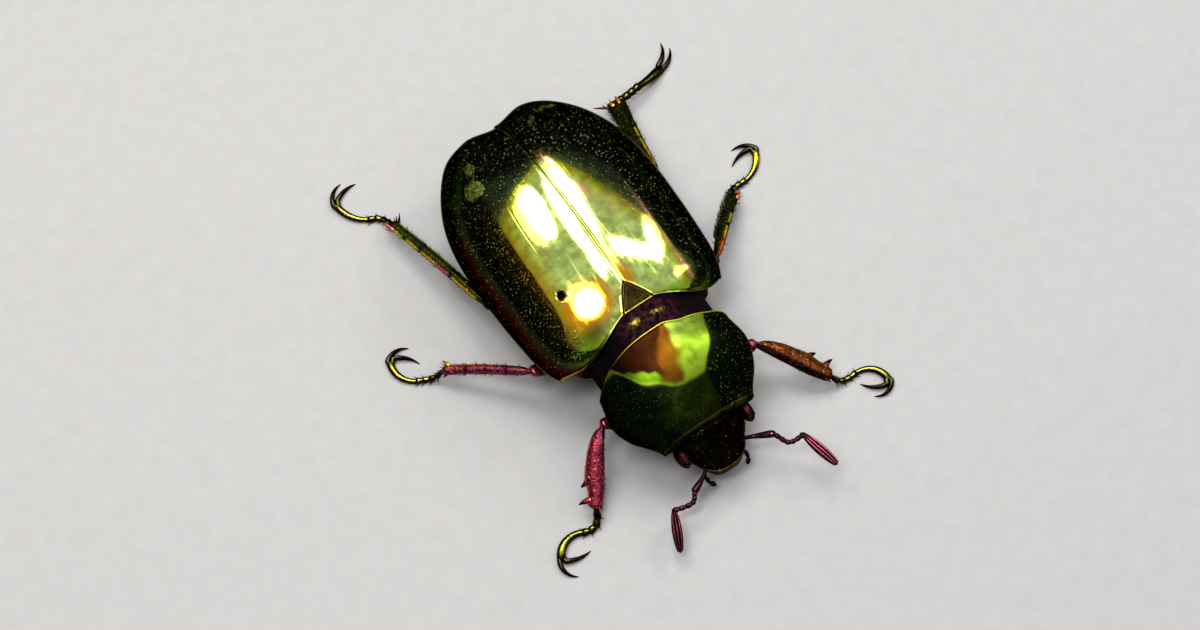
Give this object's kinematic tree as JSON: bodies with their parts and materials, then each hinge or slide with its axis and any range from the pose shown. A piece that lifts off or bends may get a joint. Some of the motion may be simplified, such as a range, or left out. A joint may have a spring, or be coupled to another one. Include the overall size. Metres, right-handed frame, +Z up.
{
  "type": "jewel scarab",
  "caption": "Metallic green-gold jewel scarab standing on its feet with legs and feelers spread, a still life-size museum model.",
  "frame": {"origin": "on the floor under the middle of the box round the whole beetle, on the body's plane of symmetry", "axes": "-Y towards the head, +X towards the beetle's left, +Z up"},
  "size_m": [0.0291, 0.0349, 0.0094],
  "materials": {
    "wing_case": "mirror-like metallic green-gold cuticle with fine punctures at the sides",
    "neck_shield": "mirror-like metallic green-gold cuticle, darker and copper-brown in places",
    "scutellum": "brown-gold metallic cuticle",
    "waist": "dark purple-brown cuticle with short hair",
    "breast": "copper-coloured metallic cuticle with short hair",
    "belly": "olive-green metallic cuticle",
    "head": "dark green-black cuticle, densely punctured",
    "mouth": "dark red-brown cuticle",
    "eye": "dark purple-red facetted eye",
    "feeler": "dark purple-red cuticle",
    "thigh_and_mid_shin": "rose-copper metallic cuticle with cross ridges",
    "fore_shin": "rose-copper metallic cuticle with a grain",
    "hind_shin": "olive-gold metallic cuticle",
    "foot": "green-gold metallic cuticle",
    "claw": "black-red claw"
  },
  "bodies": {
    "root": {"abdomen": "belly", "antenna_club_left": "feeler", "antenna_club_right": "feeler", "antenna_stalk_left": "feeler", "antenna_stalk_right": "feeler", "claw_inner_fore_left": "claw", "claw_inner_fore_right": "claw", "claw_inner_hind_left": "claw", "claw_inner_hind_right": "claw", "claw_inner_mid_left": "claw", "claw_inner_mid_right": "claw", "claw_outer_fore_left": "claw", "claw_outer_fore_right": "claw", "claw_outer_hind_left": "claw", "claw_outer_hind_right": "claw", "claw_outer_mid_left": "claw", "claw_outer_mid_right": "claw", "coxa_fore_left": "breast", "coxa_fore_right": "breast", "coxa_hind_left": "breast", "coxa_hind_right": "breast", "coxa_mid_left": "breast", "coxa_mid_right": "breast", "elytron_left": "wing_case", "elytron_right": "wing_case", "eye_left": "eye", "eye_right": "eye", "femur_fore_left": "thigh_and_mid_shin", "femur_fore_right": "thigh_and_mid_shin", "femur_hind_left": "thigh_and_mid_shin", "femur_hind_right": "thigh_and_mid_shin", "femur_mid_left": "thigh_and_mid_shin", "femur_mid_right": "thigh_and_mid_shin", "head": "head", "mesothorax": "waist", "metathorax": "breast", "mouthparts": "mouth", "palp_left": "mouth", "palp_right": "mouth", "pronotum": "neck_shield", "prosternum": "breast", "pygidium": "belly", "scutellum": "scutellum", "tarsus_fore_left": "foot", "tarsus_fore_right": "foot", "tarsus_hind_left": "foot", "tarsus_hind_right": "foot", "tarsus_mid_left": "foot", "tarsus_mid_right": "foot", "tibia_fore_left": "fore_shin", "tibia_fore_right": "fore_shin", "tibia_hind_left": "hind_shin", "tibia_hind_right": "hind_shin", "tibia_mid_left": "thigh_and_mid_shin", "tibia_mid_right": "thigh_and_mid_shin"}
  },
  "joints": []
}
